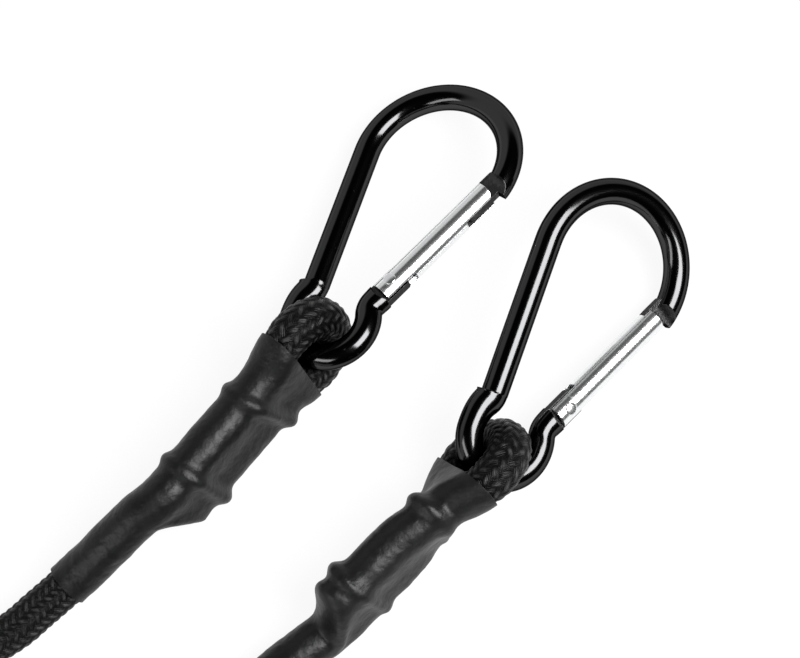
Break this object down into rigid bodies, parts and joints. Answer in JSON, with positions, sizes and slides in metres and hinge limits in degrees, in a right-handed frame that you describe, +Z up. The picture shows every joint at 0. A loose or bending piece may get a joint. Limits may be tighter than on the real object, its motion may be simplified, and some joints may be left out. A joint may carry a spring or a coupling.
{
  "type": "bungee cord",
  "caption": "Black braided bungee cord with a gated snap hook on a clamped, shrink-sleeved eye at either end, lying folded on the floor.",
  "frame": {"origin": "on the floor, under the middle of the two hooks with their eyes and sleeves, free cord left out", "axes": "+Z up from the floor the cord lies on; +Y away from a viewer who has the hooks at the far end, +X to the right"},
  "size_m": [0.2208, 0.23, 0.026],
  "materials": {
    "hook_black": "gloss black over aluminium",
    "gate_bright": "bright drawn, finely scratched",
    "spring_steel": "bright wire",
    "braid": "black braided polyester",
    "core_rubber": "natural latex strands",
    "clamp_steel": "plain wire",
    "shrink": "satin shrunk polyolefin"
  },
  "bodies": {
    "cord": {"left_eye_jacket": "braid", "left_eye_core": "core_rubber", "left_clamp_upper": "clamp_steel", "left_clamp_lower": "clamp_steel", "left_sleeve": "shrink", "right_eye_jacket": "braid", "right_eye_core": "core_rubber", "right_clamp_upper": "clamp_steel", "right_clamp_lower": "clamp_steel", "right_sleeve": "shrink", "free_cord_jacket": "braid", "free_cord_core": "core_rubber"},
    "left_hook": {"left_hook_body": "hook_black", "left_gate_rivet": "gate_bright"},
    "left_gate_bar": {"left_gate": "gate_bright", "left_gate_spring": "spring_steel"},
    "left_plunger": {"left_spring_plunger": "spring_steel"},
    "right_hook": {"right_hook_body": "hook_black", "right_gate_rivet": "gate_bright"},
    "right_gate_bar": {"right_gate": "gate_bright", "right_gate_spring": "spring_steel"},
    "right_plunger": {"right_spring_plunger": "spring_steel"}
  },
  "joints": [
    {"name": "left_hook_swing", "type": "hinge", "parent": "cord", "child": "left_hook", "pos_m": [-0.0167, 0.00763, 0.01293], "axis": [0.7141, -0.5969, 0.3657], "range_deg": [-75, 75]},
    {"name": "left_gate_turn", "type": "hinge", "parent": "left_hook", "child": "left_gate_bar", "pos_m": [0.00367, 0.02255, 0.01568], "axis": [-0.2895, 0.2237, 0.9307], "range_deg": [0, 26], "stiffness_Nm_per_rad": 0.06, "springref_deg": -17.19},
    {"name": "left_plunger_slide", "type": "slide", "parent": "left_gate_bar", "child": "left_plunger", "axis": [0.7048, 0.7077, 0.0491], "range_m": [0, 0.0012], "deforming": ["left_gate_spring"]},
    {"name": "right_hook_swing", "type": "hinge", "parent": "cord", "child": "right_hook", "pos_m": [0.02298, -0.01942, 0.0129], "axis": [0.6257, -0.5711, -0.5314], "range_deg": [-10, 75]},
    {"name": "right_gate_turn", "type": "hinge", "parent": "right_hook", "child": "right_gate_bar", "pos_m": [0.0428, -0.00426, 0.00796], "axis": [0.4419, -0.3019, 0.8447], "range_deg": [0, 26], "stiffness_Nm_per_rad": 0.06, "springref_deg": -17.19},
    {"name": "right_plunger_slide", "type": "slide", "parent": "right_gate_bar", "child": "right_plunger", "axis": [0.6912, 0.7148, -0.1061], "range_m": [0, 0.0012], "deforming": ["right_gate_spring"]}
  ],
  "couplings": [
    {"joint": "left_plunger_slide", "follows": "left_gate_turn", "m_per_rad": 0.0022},
    {"joint": "right_plunger_slide", "follows": "right_gate_turn", "m_per_rad": 0.0022}
  ]
}
